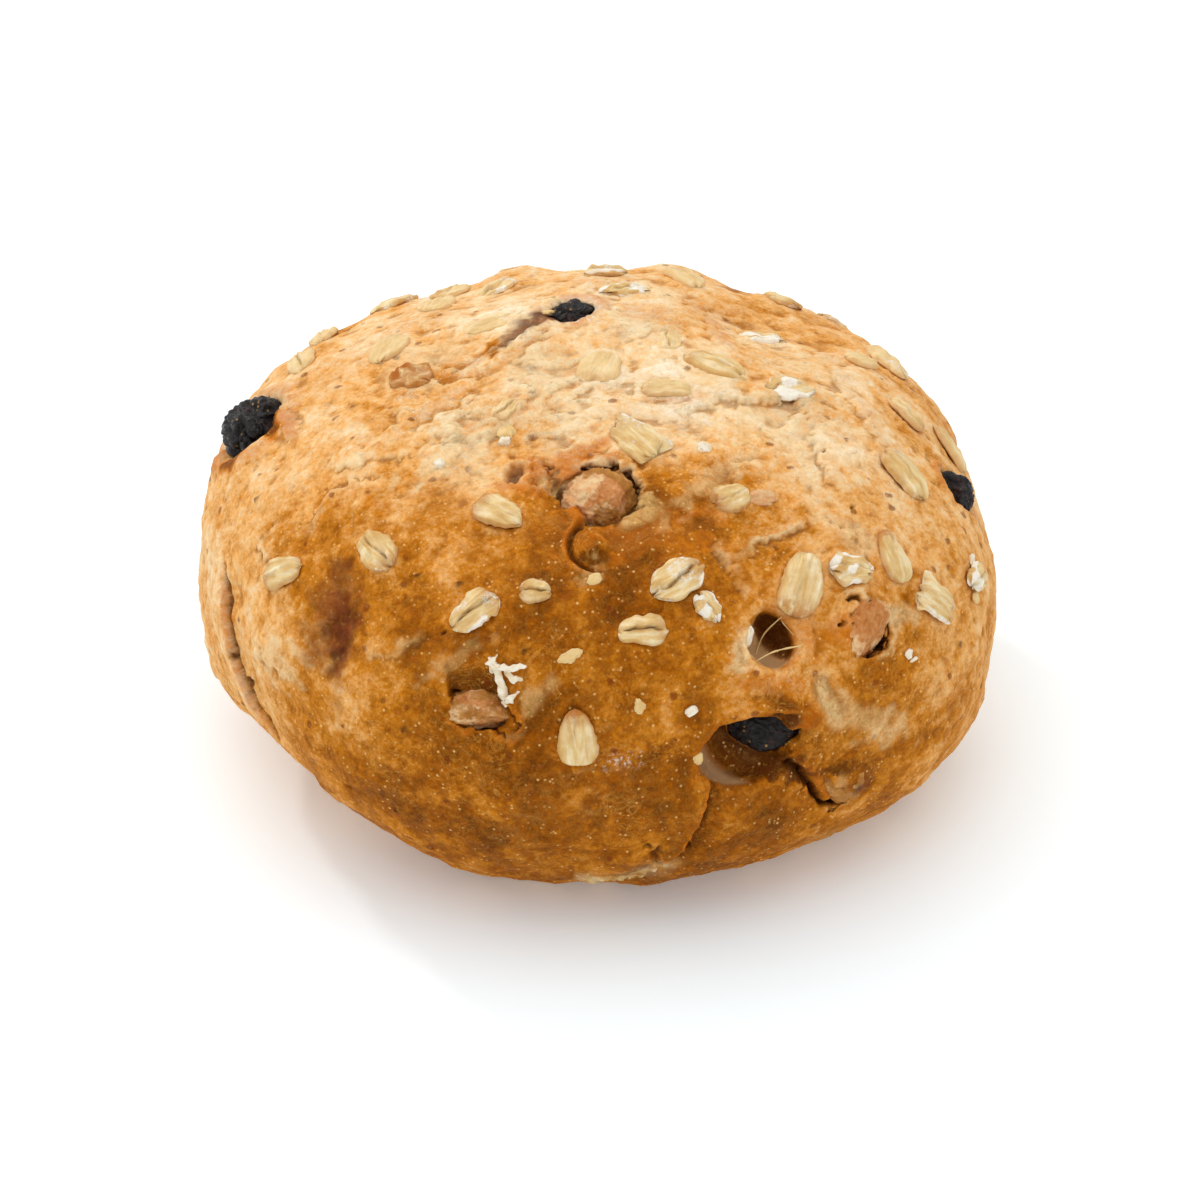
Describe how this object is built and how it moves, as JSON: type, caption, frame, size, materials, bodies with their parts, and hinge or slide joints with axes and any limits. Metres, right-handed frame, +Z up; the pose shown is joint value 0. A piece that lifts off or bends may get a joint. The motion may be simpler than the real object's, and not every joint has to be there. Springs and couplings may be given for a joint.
{
  "type": "bread roll",
  "caption": "Round golden-brown bread roll with raisins and hazelnuts baked into the crust, rolled oats scattered over it, a burst gas bubble and a folded seam.",
  "frame": {"origin": "on the surface the roll rests on, under the middle of the roll's bounding box", "axes": "+Z up; -Y towards the front, the side with the gas bubble and the folded seam; +X towards the roll's right-hand side seen from the front"},
  "size_m": [0.1078, 0.1062, 0.0595],
  "materials": {
    "crust": "matte to slightly glossy baked crust",
    "raisin": "wrinkled, slightly glossy",
    "hazelnut": "matte, skin partly rubbed off",
    "rolled_oat": "matte, floury"
  },
  "bodies": {
    "root": {"crust": "crust", "hazelnut_back": "hazelnut", "hazelnut_centre": "hazelnut", "hazelnut_left": "hazelnut", "hazelnut_low": "hazelnut", "hazelnut_right": "hazelnut", "oat_flake_01": "rolled_oat", "oat_flake_02": "rolled_oat", "oat_flake_03": "rolled_oat", "oat_flake_04": "rolled_oat", "oat_flake_05": "rolled_oat", "oat_flake_06": "rolled_oat", "oat_flake_07": "rolled_oat", "oat_flake_08": "rolled_oat", "oat_flake_09": "rolled_oat", "oat_flake_10": "rolled_oat", "oat_flake_11": "rolled_oat", "oat_flake_12": "rolled_oat", "oat_flake_13": "rolled_oat", "oat_flake_14": "rolled_oat", "oat_flake_15": "rolled_oat", "oat_flake_16": "rolled_oat", "oat_flake_17": "rolled_oat", "oat_flake_18": "rolled_oat", "oat_flake_19": "rolled_oat", "oat_flake_20": "rolled_oat", "oat_flake_21": "rolled_oat", "oat_flake_22": "rolled_oat", "oat_flake_23": "rolled_oat", "oat_flake_24": "rolled_oat", "oat_flake_25": "rolled_oat", "oat_flake_26": "rolled_oat", "oat_flake_27": "rolled_oat", "oat_flake_28": "rolled_oat", "oat_flake_29": "rolled_oat", "oat_flake_30": "rolled_oat", "oat_flake_31": "rolled_oat", "oat_flake_32": "rolled_oat", "oat_flake_33": "rolled_oat", "oat_flake_34": "rolled_oat", "oat_flake_35": "rolled_oat", "oat_flake_36": "rolled_oat", "oat_flake_37": "rolled_oat", "oat_flake_38": "rolled_oat", "oat_flake_39": "rolled_oat", "oat_flake_40": "rolled_oat", "oat_flake_41": "rolled_oat", "oat_flake_42": "rolled_oat", "oat_flake_43": "rolled_oat", "oat_flake_44": "rolled_oat", "oat_flake_45": "rolled_oat", "oat_flake_46": "rolled_oat", "oat_flake_47": "rolled_oat", "oat_flake_48": "rolled_oat", "raisin_back": "raisin", "raisin_back_low": "raisin", "raisin_crown": "raisin", "raisin_front": "raisin", "raisin_left": "raisin", "raisin_right": "raisin"}
  },
  "joints": []
}
